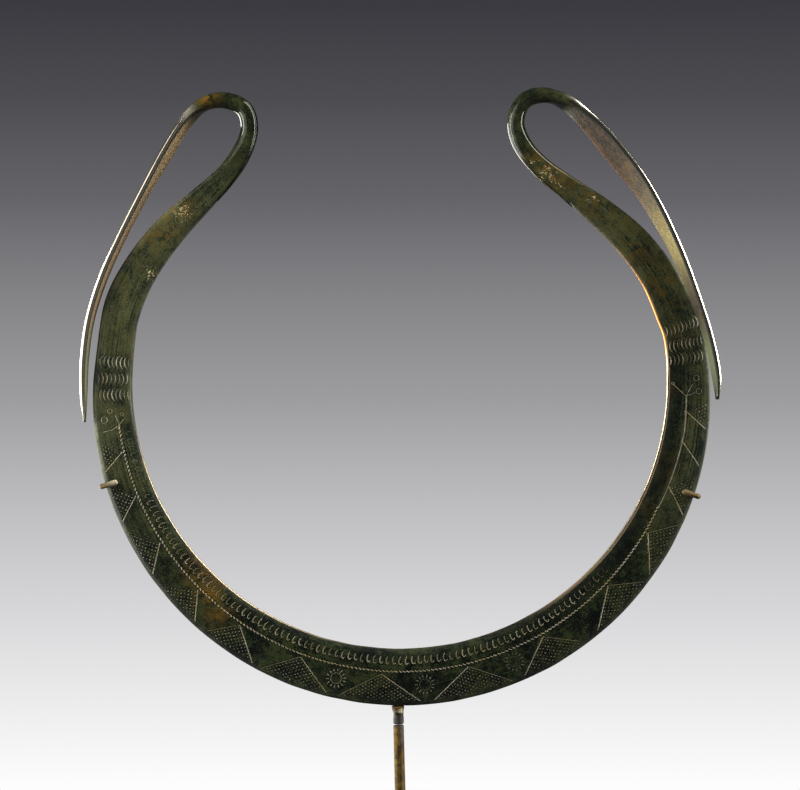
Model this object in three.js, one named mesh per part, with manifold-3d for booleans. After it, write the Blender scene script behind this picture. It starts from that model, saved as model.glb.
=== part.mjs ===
// Bronze torc (open neck-ring with looped terminals), standing on its brass display mount.
// Units are millimetres, +Z is up, and the decorated face looks towards -Y.
// The origin is the centre of the foot's underside.
import * as THREE from 'three';
import { mergeVertices } from 'three/addons/utils/BufferGeometryUtils.js';
import Module from 'manifold-3d';

// ---- Driving dimensions -------------------------------------------------------------------

// Ring: a crescent between two circles, the outer one set lower, so it is widest at the bottom.
const RING_HEIGHT = 158; // height of the inner circle's centre above the table
const INNER_RADIUS = 80.2;
const OUTER_RADIUS = 92.6;
const OUTER_SHIFT = { x: 0.6, z: -4.6 }; // outer circle's centre, from the inner one's
const RING_THICKNESS = 2.8;
const RING_LEFT_END = 172; // degrees, where the crescent hands over to the left limb
const RING_RIGHT_END = 368; // degrees, where it hands over to the right limb
const RING_KNOTS = 18; // spans between the two ends

// Limbs, loops and pins: knots of one smooth route each, from the ring out to the pin's tip.
// Each knot is [x, z, forward, width, depth, turn]: x and z from the ring's centre, forward
// towards the front, width in the ring's plane, depth across it, and turn in degrees.
const LEFT_LIMB = [
  [-82.6, 23.6, 0, 11.3, 2.8, 0],
  [-76.9, 34.8, 0, 10.7, 2.9, 0],
  [-69.1, 45.0, 0, 9.8, 3.2, 0],
  [-59.9, 54.0, 0, 8.0, 3.7, 0],
  [-51.9, 61.9, 0, 6.8, 4.3, 0],
  [-47.1, 69.0, 0, 6.2, 4.8, 0],
  [-45.0, 75.8, 0, 5.5, 5.0, 0],
  [-46.6, 81.7, 0, 5.4, 5.0, 0],
  [-52.4, 84.3, 0, 5.2, 5.0, 0],
  [-58.7, 83.0, 0.2, 4.4, 5.8, 6],
  [-64.2, 77.7, 0.4, 2.8, 7.4, 18],
  [-70.0, 68.3, 0.6, 2.2, 8.2, 19],
  [-76.3, 57.0, 0.8, 2.0, 8.8, 10],
  [-82.7, 44.6, 1.0, 1.9, 8.8, 7.5],
  [-88.4, 32.1, 1.2, 1.9, 8.4, 7.5],
  [-92.5, 19.4, 1.4, 1.9, 7.6, 7],
  [-94.3, 7.4, 1.5, 1.9, 6.4, 8],
  [-94.6, -3.4, 1.6, 1.6, 4.6, 12],
  [-94.3, -12.2, 1.6, 0.8, 1.2, 16],
];
const RIGHT_LIMB = [
  [82.6, 21.4, 0, 12.3, 2.8, 0],
  [77.1, 32.4, 0, 11.2, 2.9, 0],
  [69.5, 42.2, 0, 10.4, 3.2, 0],
  [60.5, 50.4, 0, 9.0, 3.6, 0],
  [51.6, 57.2, 0, 7.5, 4.2, 0],
  [42.8, 63.9, 0, 6.7, 4.7, 0],
  [36.9, 70.9, 0, 6.2, 5.0, 0],
  [34.9, 77.8, 0, 5.4, 5.0, 0],
  [37.4, 84.0, 0.2, 5.2, 5.0, 0],
  [43.6, 85.8, 0.5, 4.9, 5.4, 3],
  [50.6, 83.1, 1.1, 3.6, 6.9, 24],
  [57.8, 76.4, 1.9, 2.3, 8.4, 39],
  [64.9, 67.9, 2.7, 1.9, 9.0, 43],
  [72.0, 58.7, 3.5, 1.8, 9.0, 34.5],
  [78.5, 47.7, 4.2, 1.8, 8.8, 26],
  [84.1, 35.9, 4.9, 1.8, 8.2, 20],
  [88.6, 24.3, 5.6, 1.8, 7.4, 15.5],
  [92.3, 13.0, 5.5, 1.8, 6.4, 16],
  [94.6, 2.0, 5.1, 1.8, 5.0, 21],
  [94.9, -5.4, 4.8, 1.0, 1.6, 20],
];
const STEP_ALONG = 3.4; // mm between sections of the torc
const SECTION_SIDES = 12;
const PLATE_POWER = 5; // superellipse power of a flat section: soft-edged plate
const ROUND_POWER = 2; // of a round one

// Mount: rod, seat, two hooked arms and a foot.
const ROD_DIAMETER = 3.2;
const ROD_BACK = 1.2; // the rod's axis, behind the ring's mid-plane
const ROD_FOOT_X = 1.0; // the rod leans: its foot is to the right of its head
const ROD_HEAD_X = -0.3;
const SEAT_HEIGHT = 5.7; // from the rod's head to the torc's lower edge
const SEAT_FRONT = 1.9;
const SEAT_REAR = 4.3;
const SEAT_WIDTH = 4.2;
const SEAT_NECK_WIDTH = 3.2;
const POST_HEIGHT = 8.8; // post behind the ring, above its lower edge
const ARM_DIAMETER = 1.8;
const ARM_RADIUS = 86; // the arms' line behind the ring, about the outer circle's centre
const LEFT_HOOK_ANGLE = 196.7; // degrees, where each arm turns over the ring's edge
const RIGHT_HOOK_ANGLE = 341.4;
const HOOK_REACH = 4.0; // how far a hook comes in over the ring's face
const FOOT = { width: 100, depth: 64, height: 12, corner: 6, bevel: 1.2 };
const SOCKET_DEPTH = 9;
const GAP = 0.3; // clearance between touching pieces

// ---- Colours and finish -------------------------------------------------------------------

const patina = new THREE.MeshStandardMaterial({ color: 0x30341f, roughness: 0.38, metalness: 0.75 });
const brass = new THREE.MeshStandardMaterial({ color: 0x6b5a34, roughness: 0.42, metalness: 0.9 });
const darkMetal = new THREE.MeshStandardMaterial({ color: 0x231f1b, roughness: 0.5, metalness: 0.2 });

// ---- Torc ---------------------------------------------------------------------------------

// One knot of the crescent: the middle and the width between the two circles at an angle.
function ringKnot(degrees) {
  const angle = THREE.MathUtils.degToRad(degrees);
  const along = OUTER_SHIFT.x * Math.cos(angle) + OUTER_SHIFT.z * Math.sin(angle);
  const across = OUTER_SHIFT.x * Math.sin(angle) - OUTER_SHIFT.z * Math.cos(angle);
  const outer = along + Math.sqrt(OUTER_RADIUS ** 2 - across ** 2);
  const middle = (INNER_RADIUS + outer) / 2;
  const width = outer - INNER_RADIUS;
  return [middle * Math.cos(angle), middle * Math.sin(angle), 0, width, RING_THICKNESS, 0];
}

// All knots from the left pin's tip, round the ring, to the right pin's tip.
function torcKnots() {
  const ring = [];
  for (let i = 0; i <= RING_KNOTS; i++) {
    ring.push(ringKnot(THREE.MathUtils.lerp(RING_LEFT_END, RING_RIGHT_END, i / RING_KNOTS)));
  }
  return [...LEFT_LIMB].reverse().concat(ring, RIGHT_LIMB);
}

// Closed solid carried along the route: superellipse sections joined by quads, capped ends.
function torcGeometry() {
  const knots = torcKnots();
  const place = ([x, z, forward]) => new THREE.Vector3(x, -forward, z + RING_HEIGHT);
  const size = ([, , , width, depth, turn]) => new THREE.Vector3(width, depth, turn);
  const route = new THREE.CatmullRomCurve3(knots.map(place), false, 'catmullrom');
  const sizes = new THREE.CatmullRomCurve3(knots.map(size), false, 'catmullrom');
  const spans = knots.length - 1;
  const times = [];
  for (let i = 0; i < spans; i++) {
    const length = place(knots[i]).distanceTo(place(knots[i + 1]));
    const pieces = Math.ceil(length / STEP_ALONG);
    for (let j = 0; j < pieces; j++) {
      times.push((i + j / pieces) / spans);
    }
  }
  times.push(1);

  const positions = [];
  for (const t of times) {
    const centre = route.getPoint(t);
    const { x: width, y: depth, z: turn } = sizes.getPoint(t);
    const tangent = route.getTangent(t);
    const outward = new THREE.Vector3().crossVectors(tangent, new THREE.Vector3(0, -1, 0)).normalize();
    outward.applyAxisAngle(tangent, -THREE.MathUtils.degToRad(turn));
    const forward = new THREE.Vector3().crossVectors(outward, tangent).normalize();
    const flatness = THREE.MathUtils.smoothstep(Math.abs(width - depth), 0.5, 5);
    const power = THREE.MathUtils.lerp(ROUND_POWER, PLATE_POWER, flatness);
    for (let k = 0; k < SECTION_SIDES; k++) {
      const angle = (2 * Math.PI * k) / SECTION_SIDES;
      const swell = (value) => Math.sign(value) * Math.abs(value) ** (2 / power);
      const point = centre.clone();
      point.addScaledVector(outward, (width / 2) * swell(Math.cos(angle)));
      point.addScaledVector(forward, (depth / 2) * swell(Math.sin(angle)));
      positions.push(point.x, point.y, point.z);
    }
  }

  const faces = [];
  for (let i = 0; i < times.length - 1; i++) {
    for (let k = 0; k < SECTION_SIDES; k++) {
      const a = i * SECTION_SIDES + k;
      const b = i * SECTION_SIDES + ((k + 1) % SECTION_SIDES);
      const c = a + SECTION_SIDES;
      const d = b + SECTION_SIDES;
      faces.push(a, d, b, a, c, d);
    }
  }
  const last = (times.length - 1) * SECTION_SIDES;
  for (let k = 1; k < SECTION_SIDES - 1; k++) {
    faces.push(0, k, k + 1, last, last + k + 1, last + k);
  }
  const geometry = new THREE.BufferGeometry();
  geometry.setAttribute('position', new THREE.Float32BufferAttribute(positions, 3));
  geometry.setIndex(faces);
  geometry.computeVertexNormals();
  return geometry;
}

// ---- Mount --------------------------------------------------------------------------------

const lowerEdge = RING_HEIGHT + OUTER_SHIFT.z - OUTER_RADIUS;
const seatBottom = lowerEdge - SEAT_HEIGHT;

// A round rod standing in the foot's socket and leaning to meet the seat.
function rodGeometry() {
  const start = new THREE.Vector3(ROD_FOOT_X, ROD_BACK, FOOT.height - SOCKET_DEPTH + GAP);
  const end = new THREE.Vector3(ROD_HEAD_X, ROD_BACK, seatBottom - GAP);
  const circle = new THREE.Shape().absarc(0, 0, ROD_DIAMETER / 2, 0, 2 * Math.PI);
  const path = new THREE.LineCurve3(start, end);
  return new THREE.ExtrudeGeometry(circle, { extrudePath: path, steps: 1, curveSegments: 12 });
}

// The seat's side outline, pushed across and narrowed towards the rod: an L whose foot carries
// the ring's lower edge and whose post stands behind the ring.
function seatGeometry() {
  const behindRing = RING_THICKNESS / 2 + GAP;
  const outline = new THREE.Shape([
    new THREE.Vector2(ROD_BACK - 1.6, 0),
    new THREE.Vector2(ROD_BACK + 1.6, 0),
    new THREE.Vector2(SEAT_REAR, 3.2),
    new THREE.Vector2(SEAT_REAR, SEAT_HEIGHT + POST_HEIGHT),
    new THREE.Vector2(behindRing, SEAT_HEIGHT + POST_HEIGHT),
    new THREE.Vector2(behindRing, SEAT_HEIGHT - GAP),
    new THREE.Vector2(-SEAT_FRONT, SEAT_HEIGHT - GAP),
    new THREE.Vector2(-SEAT_FRONT, SEAT_HEIGHT - 2.2),
  ]);
  const geometry = new THREE.ExtrudeGeometry(outline, { depth: 1, bevelEnabled: false, steps: 1 });
  const position = geometry.attributes.position;
  for (let i = 0; i < position.count; i++) {
    const back = position.getX(i);
    const up = position.getY(i);
    const spread = THREE.MathUtils.smoothstep(up, 0, SEAT_HEIGHT - GAP);
    const width = THREE.MathUtils.lerp(SEAT_NECK_WIDTH, SEAT_WIDTH, spread);
    const across = (0.5 - position.getZ(i)) * width;
    position.setXYZ(i, ROD_HEAD_X - across, back, seatBottom + up);
  }
  return geometry;
}

// An arm's wire: an arc behind the ring, then out past its edge, forward and back in over it.
function armGeometry(startAngle, hookAngle) {
  const behind = RING_THICKNESS / 2 + GAP + ARM_DIAMETER / 2;
  const beyond = OUTER_RADIUS + GAP + ARM_DIAMETER / 2;
  const points = [];
  const add = (degrees, radius, back) => {
    const angle = THREE.MathUtils.degToRad(degrees);
    const x = OUTER_SHIFT.x + radius * Math.cos(angle);
    const z = RING_HEIGHT + OUTER_SHIFT.z + radius * Math.sin(angle);
    points.push(new THREE.Vector3(x, back, z));
  };
  const spans = 10;
  const bend = Math.sign(startAngle - hookAngle) * 2.2;
  for (let i = 0; i <= spans; i++) {
    add(THREE.MathUtils.lerp(startAngle, hookAngle + bend, i / spans), ARM_RADIUS, behind);
  }
  add(hookAngle + bend * 0.25, ARM_RADIUS + 2.4, behind);
  add(hookAngle, beyond - 1.6, behind);
  add(hookAngle, beyond - 0.25, behind - 0.5);
  add(hookAngle, beyond, behind - 1.8);
  add(hookAngle, beyond, -behind + 1.8);
  add(hookAngle, beyond - 0.25, -behind + 0.5);
  add(hookAngle, beyond - 1.6, -behind);
  add(hookAngle, OUTER_RADIUS - HOOK_REACH, -behind);
  const path = new THREE.CatmullRomCurve3(points, false, 'centripetal');
  const circle = new THREE.Shape().absarc(0, 0, ARM_DIAMETER / 2, 0, 2 * Math.PI);
  return new THREE.ExtrudeGeometry(circle, { extrudePath: path, steps: 48, curveSegments: 4 });
}

// Rectangle with round corners, centred.
function roundedRectangle(width, depth, corner) {
  const shape = new THREE.Shape();
  const x = width / 2 - corner;
  const y = depth / 2 - corner;
  shape.absarc(x, y, corner, 0, Math.PI / 2);
  shape.absarc(-x, y, corner, Math.PI / 2, Math.PI);
  shape.absarc(-x, -y, corner, Math.PI, 1.5 * Math.PI);
  shape.absarc(x, -y, corner, 1.5 * Math.PI, 2 * Math.PI);
  return shape;
}

// Foot: a low block with rounded top edges and a blind socket for the rod.
function footGeometry(wasm) {
  const { width, depth, height, corner, bevel } = FOOT;
  const block = new THREE.ExtrudeGeometry(
    roundedRectangle(width - 2 * bevel, depth - 2 * bevel, corner - bevel),
    {
      depth: height - 2 * bevel,
      bevelSize: bevel,
      bevelThickness: bevel,
      bevelSegments: 3,
      curveSegments: 6,
    },
  );
  block.translate(0, 0, bevel);
  const socket = new THREE.CylinderGeometry(ROD_DIAMETER / 2 + GAP, ROD_DIAMETER / 2 + GAP, 20, 24);
  socket.rotateX(Math.PI / 2);
  socket.translate(ROD_FOOT_X, ROD_BACK, FOOT.height - SOCKET_DEPTH + 10);
  return toGeometry(toSolid(wasm, block).subtract(toSolid(wasm, socket)));
}

// ---- Solids -------------------------------------------------------------------------------

function toSolid(wasm, geometry) {
  const bare = geometry.clone();
  bare.deleteAttribute('normal');
  bare.deleteAttribute('uv');
  const merged = mergeVertices(bare, 1e-4);
  const mesh = new wasm.Mesh({
    numProp: 3,
    vertProperties: new Float32Array(merged.attributes.position.array),
    triVerts: new Uint32Array(merged.index.array),
  });
  return new wasm.Manifold(mesh);
}

function toGeometry(solid) {
  const mesh = solid.getMesh();
  const geometry = new THREE.BufferGeometry();
  geometry.setAttribute('position', new THREE.BufferAttribute(mesh.vertProperties, 3));
  geometry.setIndex(new THREE.BufferAttribute(mesh.triVerts, 1));
  geometry.computeVertexNormals();
  return geometry;
}

function named(name, geometry, material) {
  const mesh = new THREE.Mesh(geometry, material);
  mesh.name = name;
  return mesh;
}

// ---- Assembly -----------------------------------------------------------------------------

const wasm = await Module();
wasm.setup();

const armStart = THREE.MathUtils.radToDeg((SEAT_WIDTH / 2 + GAP) / ARM_RADIUS);
const mount = new THREE.Group();
mount.add(
  named('support_rod', rodGeometry(), brass),
  named('rod_seat', seatGeometry(), brass),
  named('cradle_arm_left', armGeometry(269.4 - armStart, LEFT_HOOK_ANGLE), brass),
  named('cradle_arm_right', armGeometry(269.4 + armStart, RIGHT_HOOK_ANGLE), brass),
  named('foot', footGeometry(wasm), darkMetal),
);

const torcOnMount = new THREE.Group();
torcOnMount.add(named('torc', torcGeometry(), patina), mount);

export default torcOnMount;
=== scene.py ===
"""Bronze torc standing on its brass display mount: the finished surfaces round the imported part.

The flat crescent ring, its limbs, loops and hammered pins are one surface, a section carried
along one route. The punched and incised ornament is cut into the face of the ring as real relief.
Lengths in the layout are millimetres from the ring's centre and become metres in the meshes.
"""

import math

import bpy
import numpy as np
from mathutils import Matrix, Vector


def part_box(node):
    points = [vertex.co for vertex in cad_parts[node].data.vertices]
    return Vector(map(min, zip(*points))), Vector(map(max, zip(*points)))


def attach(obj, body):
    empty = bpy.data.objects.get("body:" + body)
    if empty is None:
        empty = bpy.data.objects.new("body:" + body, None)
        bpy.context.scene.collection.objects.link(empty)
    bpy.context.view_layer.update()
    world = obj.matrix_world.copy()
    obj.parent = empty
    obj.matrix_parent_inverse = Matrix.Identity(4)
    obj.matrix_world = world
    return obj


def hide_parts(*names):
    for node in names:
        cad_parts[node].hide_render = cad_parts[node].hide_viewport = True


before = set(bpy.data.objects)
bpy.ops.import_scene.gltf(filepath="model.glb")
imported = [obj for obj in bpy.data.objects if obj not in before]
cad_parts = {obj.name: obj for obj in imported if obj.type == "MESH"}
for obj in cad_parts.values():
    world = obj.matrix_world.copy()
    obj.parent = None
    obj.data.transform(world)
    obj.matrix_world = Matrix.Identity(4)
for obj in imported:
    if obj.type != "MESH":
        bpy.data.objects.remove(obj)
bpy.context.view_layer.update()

# ---- Measures ----------------------------------------------------------------------------

MM = 0.001
FULL_TURN = 2 * math.pi

INNER_RADIUS = 80.2
OUTER_RADIUS = 92.6
OUTER_SHIFT = np.array([0.6, -4.6])  # the outer circle's centre, from the inner one's
RING_THICKNESS = 2.8
RING_ENDS = (172.0, 368.0)  # degrees, where the crescent hands over to the limbs
RING_SPANS = 18

# Knots of the limbs, loops and pins, from the ring outwards: x, z, forward, width, depth, turn.
LEFT_LIMB = (
    (-82.6, 23.6, 0, 11.3, 2.8, 0),
    (-76.9, 34.8, 0, 10.7, 2.9, 0),
    (-69.1, 45.0, 0, 9.8, 3.2, 0),
    (-59.9, 54.0, 0, 8.0, 3.7, 0),
    (-51.9, 61.9, 0, 6.8, 4.3, 0),
    (-47.1, 69.0, 0, 6.2, 4.8, 0),
    (-45.0, 75.8, 0, 5.5, 5.0, 0),
    (-46.6, 81.7, 0, 5.4, 5.0, 0),
    (-52.4, 84.3, 0, 5.2, 5.0, 0),
    (-58.7, 83.0, 0.2, 4.4, 5.8, 6),
    (-64.2, 77.7, 0.4, 2.8, 7.4, 18),
    (-70.0, 68.3, 0.6, 2.2, 8.2, 19),
    (-76.3, 57.0, 0.8, 2.0, 8.8, 10),
    (-82.7, 44.6, 1.0, 1.9, 8.8, 7.5),
    (-88.4, 32.1, 1.2, 1.9, 8.4, 7.5),
    (-92.5, 19.4, 1.4, 1.9, 7.6, 7),
    (-94.3, 7.4, 1.5, 1.9, 6.4, 8),
    (-94.6, -3.4, 1.6, 1.6, 4.6, 12),
    (-94.3, -12.2, 1.6, 0.8, 1.2, 16),
)
RIGHT_LIMB = (
    (82.6, 21.4, 0, 12.3, 2.8, 0),
    (77.1, 32.4, 0, 11.2, 2.9, 0),
    (69.5, 42.2, 0, 10.4, 3.2, 0),
    (60.5, 50.4, 0, 9.0, 3.6, 0),
    (51.6, 57.2, 0, 7.5, 4.2, 0),
    (42.8, 63.9, 0, 6.7, 4.7, 0),
    (36.9, 70.9, 0, 6.2, 5.0, 0),
    (34.9, 77.8, 0, 5.4, 5.0, 0),
    (37.4, 84.0, 0.2, 5.2, 5.0, 0),
    (43.6, 85.8, 0.5, 4.9, 5.4, 3),
    (50.6, 83.1, 1.1, 3.6, 6.9, 24),
    (57.8, 76.4, 1.9, 2.3, 8.4, 39),
    (64.9, 67.9, 2.7, 1.9, 9.0, 43),
    (72.0, 58.7, 3.5, 1.8, 9.0, 34.5),
    (78.5, 47.7, 4.2, 1.8, 8.8, 26),
    (84.1, 35.9, 4.9, 1.8, 8.2, 20),
    (88.6, 24.3, 5.6, 1.8, 7.4, 15.5),
    (92.3, 13.0, 5.5, 1.8, 6.4, 16),
    (94.6, 2.0, 5.1, 1.8, 5.0, 21),
    (94.9, -5.4, 4.8, 1.0, 1.6, 20),
)
FINE_STEP = 0.18  # between sections where the face is decorated
COARSE_STEP = 0.6
PIN_STEP = 1.3
FACE_COLUMNS = 104
SIDE_COLUMNS = 18
BACK_COLUMNS = 30
TORC_TRIANGLES = 194000
KEPT_ABOVE = 0.3
INNER_SLOPE = (0.35, 0.7)  # how far the inner part of the face falls back, left and right
BEVEL_SHARE = 0.1

torc_low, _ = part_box("torc")
RING_HEIGHT = torc_low.z / MM + OUTER_RADIUS - OUTER_SHIFT[1]


# ---- Camera ------------------------------------------------------------------------------

VIEW_DISTANCE = 1000.0
VIEW_WIDTH = 240.0  # what the picture spans at the ring
VIEW_CENTRE = (0.15, -4.1)
SENSOR = 36.0


def make_camera():
    """A long lens, level, whose picture spans VIEW_WIDTH at the ring."""
    data = bpy.data.cameras.new("camera")
    data.sensor_width = SENSOR
    data.lens = SENSOR * VIEW_DISTANCE / VIEW_WIDTH
    camera = bpy.data.objects.new("camera", data)
    height = RING_HEIGHT + VIEW_CENTRE[1]
    camera.location = (VIEW_CENTRE[0] * MM, -VIEW_DISTANCE * MM, height * MM)
    camera.rotation_euler = (math.pi / 2, 0, 0)
    bpy.context.scene.collection.objects.link(camera)
    bpy.context.scene.camera = camera


make_camera()


# ---- Curves and swept surfaces -----------------------------------------------------------


def smooth(value, low, high):
    """0 below low, 1 above high, and a smooth S between."""
    share = np.clip((value - low) / (high - low), 0.0, 1.0)
    return share * share * (3 - 2 * share)


def spline(knots, times, power):
    """Catmull-Rom curve: each span is a cubic whose end slopes come from the knots beside it.
    Knots lie evenly in time for power 0, and by the root of their distance for power 0.5."""
    last = len(knots) - 1
    before = 2 * knots[:1] - knots[1:2]
    after = 2 * knots[-1:] - knots[-2:-1]
    padded = np.vstack([before, knots, after])
    span = np.clip(times.astype(int), 0, last - 1)
    t = (times - span)[:, None]
    a, b, c, d = (padded[span + k] for k in range(4))
    ab, bc, cd = (
        np.linalg.norm(q - p, axis=1, keepdims=True) ** power for p, q in ((a, b), (b, c), (c, d))
    )
    leave = ((b - a) / ab - (c - a) / (ab + bc) + (c - b) / bc) * bc
    arrive = ((c - b) / bc - (d - b) / (bc + cd) + (d - c) / cd) * bc
    cube = 2 * b - 2 * c + leave + arrive
    square = 3 * c - 3 * b - 2 * leave - arrive
    return ((cube * t + square) * t + leave) * t + b


def even_times(knots, steps):
    """Times along the knots, each span cut into pieces about its own step long."""
    lengths = np.linalg.norm(np.diff(knots, axis=0), axis=1)
    cuts = np.ceil(lengths / steps).astype(int)
    spans = [i + np.arange(n) / n for i, n in enumerate(cuts)]
    return np.concatenate([*spans, [float(len(cuts))]])


def unit(vectors):
    """Each vector divided by its own length."""
    return vectors / np.linalg.norm(vectors, axis=-1, keepdims=True)


def wander(along, seed, spacing, size):
    """Smooth unevenness along a length: random heights every spacing, joined by S curves."""
    count = int(along.max() / spacing) + 3
    heights = np.random.default_rng(seed).uniform(-size, size, count)
    place = along / spacing
    left = place.astype(int)
    share = smooth(place - left, 0.0, 1.0)
    return heights[left] * (1 - share) + heights[left + 1] * share


def enclosed(points):
    """Six times the volume inside a tube of points, less than nought when it is inside out:
    the sum over its triangles of the triple product of their corners. The ends are flat fans."""
    following = np.roll(points, -1, axis=1)
    a, b, c, d = points[:-1], following[:-1], following[1:], points[1:]
    walls = np.sum(a * np.cross(b, c)) + np.sum(a * np.cross(c, d))
    first, last = points[0].mean(0), points[-1].mean(0)
    start = np.sum(first * np.cross(following[0], points[0]))
    return walls + start + np.sum(last * np.cross(points[-1], following[-1]))


def grid_mesh(name, points, layers=None):
    """Closed tube from a grid of points (row along, column round), with a fan at each end.
    layers are named values, one per grid point, kept as attributes; rows and columns give
    the UV map along_across, in metres along and as a share round."""
    if enclosed(points) < 0:
        points = points[:, ::-1]
        layers = {key: values[:, ::-1] for key, values in (layers or {}).items()}
    rows, columns = points.shape[:2]
    ends = np.stack([points[0].mean(0), points[-1].mean(0)])
    vertices = np.concatenate([points.reshape(-1, 3), ends]) * MM
    row, column = np.meshgrid(np.arange(rows - 1), np.arange(columns), indexing="ij")
    following = (column + 1) % columns
    corner = np.stack(
        [
            row * columns + column,
            row * columns + following,
            (row + 1) * columns + following,
            (row + 1) * columns + column,
        ],
        axis=-1,
    ).reshape(-1, 4)
    ring = np.arange(columns)
    beyond = (ring + 1) % columns
    first, final = rows * columns, rows * columns + 1
    base = (rows - 1) * columns
    start_fan = np.stack([np.full(columns, first), beyond, ring], axis=-1)
    end_fan = np.stack([np.full(columns, final), base + ring, base + beyond], axis=-1)

    mesh = bpy.data.meshes.new(name)
    loops = np.concatenate([corner.ravel(), start_fan.ravel(), end_fan.ravel()]).astype(np.int32)
    sizes = np.concatenate([np.full(len(corner), 4), np.full(2 * columns, 3)]).astype(np.int32)
    starts = np.concatenate([[0], np.cumsum(sizes)[:-1]]).astype(np.int32)
    mesh.vertices.add(len(vertices))
    mesh.vertices.foreach_set("co", vertices.astype(np.float32).ravel())
    mesh.loops.add(len(loops))
    mesh.loops.foreach_set("vertex_index", loops)
    mesh.polygons.add(len(sizes))
    mesh.polygons.foreach_set("loop_start", starts)
    mesh.polygons.foreach_set("loop_total", sizes)
    mesh.polygons.foreach_set("use_smooth", np.ones(len(sizes), bool))

    middle = points.mean(1)
    step = np.linalg.norm(np.diff(middle, axis=0), axis=1)
    along = np.concatenate([[0.0], np.cumsum(step)]) * MM
    u = np.stack([along[row], along[row], along[row + 1], along[row + 1]], -1).ravel()
    v = np.stack([column, column + 1, column + 1, column], -1).ravel() / columns
    fan_v = np.stack([ring + 0.5, ring + 1, ring], -1).ravel() / columns
    back_v = np.stack([ring + 0.5, ring, ring + 1], -1).ravel() / columns
    u = np.concatenate([u, np.zeros(3 * columns), np.full(3 * columns, along[-1])])
    v = np.concatenate([v, fan_v, back_v])
    uv = mesh.uv_layers.new(name="along_across")
    uv.data.foreach_set("uv", np.stack([u, v], -1).astype(np.float32).ravel())
    for key, values in (layers or {}).items():
        ends_too = np.concatenate([values.ravel(), [values[0].mean(), values[-1].mean()]])
        layer = mesh.attributes.new(key, "FLOAT", "POINT")
        layer.data.foreach_set("value", ends_too.astype(np.float32))
    mesh.update()
    mesh.validate()
    return mesh


def place_piece(mesh, slot_name, material, *nodes):
    """Shows the mesh as a piece of the one body, in place of its CAD nodes."""
    piece = bpy.data.objects.new(mesh.name, mesh)
    bpy.context.scene.collection.objects.link(piece)
    mesh.materials.append(material)
    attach(piece, "root")
    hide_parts(*nodes)
    return piece


# ---- Ornament of the face ----------------------------------------------------------------

# Triangles round the outer part of the face: where each base starts, its point, its base's end.
TRIANGLES = (
    (191.3, 194.3, 197.1),
    (199.6, 203.5, 206.8),
    (208.9, 213.9, 217.9),
    (220.2, 225.9, 229.5),
    (232.2, 236.7, 242.4),
    (244.3, 250.2, 256.7),
    (259.0, 266.4, 273.8),
    (276.2, 283.6, 290.7),
    (293.0, 299.3, 305.3),
    (308.5, 315.6, 320.7),
    (322.4, 328.6, 332.8),
    (334.8, 338.6, 342.9),
    (344.3, 348.2, 350.4),
    (351.2, 354.1, 356.2),
)
BARE_TRIANGLE = 12  # the one left without dots
POINT_SHARE = 0.45  # how far across the face a triangle's point is
BASE_SHARE = 0.93
DOT_PITCH = 1.02
ROPE = (189.4, 334.0, 357.1)  # degrees: the rope's start, where it becomes a line, its end
ROPE_SHARE = 0.395
ROPE_JOINED = 298.0
ROPE_LINE = ((334.0, 0.41), (342.0, 0.44), (350.3, 0.47), (357.1, 0.44))  # where its plain end runs
ROPE_PITCH = 1.2
HOOK_PUNCHES = (205.6, 325.0)
HOOKS_FADE = (306.0, 324.0)
FAINT_PUNCHES = ((190.5, 204.2, 0.14), (336.0, 355.6, 0.05))
HOOK_PITCH = 1.88
SUNS = ((242.5, 0.58, 0.35), (257.9, 0.64, 1.0), (274.8, 0.64, 0.8), (292.3, 0.62, 0.75), (307.5, 0.66, 0.4))
# Rows of crescents: their middle in degrees at the inner and the outer edge, and their bulge.
CRESCENT_ROWS = (
    (176.0, 176.2, 1),
    (179.5, 179.5, -1),
    (182.8, 182.7, 1),
    (370.4, 371.4, 1),
    (367.3, 367.7, -1),
    (364.3, 364.9, 1),
)


def outer_reach(angle):
    """Distance from the ring's centre to the outer circle at an angle in radians."""
    direction = np.stack([np.cos(angle), np.sin(angle)], -1)
    along = direction @ OUTER_SHIFT
    across = direction[..., 0] * OUTER_SHIFT[1] - direction[..., 1] * OUTER_SHIFT[0]
    return along + np.sqrt(OUTER_RADIUS**2 - across**2)


def face_point(degrees, share):
    """A point of the face: share 0 is the inner edge, 1 the outer one."""
    angle = np.radians(degrees)
    radius = INNER_RADIUS + share * (outer_reach(angle) - INNER_RADIUS)
    return np.array([radius * np.cos(angle), radius * np.sin(angle)])


def stroke(marks, points, half_width, depth):
    """Adds a bent stroke as straight pieces between its points."""
    for start, end in zip(points[:-1], points[1:]):
        marks.append((*start, *end, half_width, depth))


def arc(centre, radius, start, end, pieces):
    """Points spaced evenly round part of a circle, between two angles in degrees."""
    angle = np.radians(np.linspace(start, end, pieces + 1))
    return [(centre[0] + radius * math.cos(a), centre[1] + radius * math.sin(a)) for a in angle]


def turned(points, centre, degrees, size=1.0):
    """Points given about nought, with their second axis outwards, set at a place of the face."""
    angle = math.radians(degrees)
    out = np.array([math.cos(angle), math.sin(angle)])
    side = np.array([-out[1], out[0]])
    return [centre + size * (p[0] * side + p[1] * out) for p in points]


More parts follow.
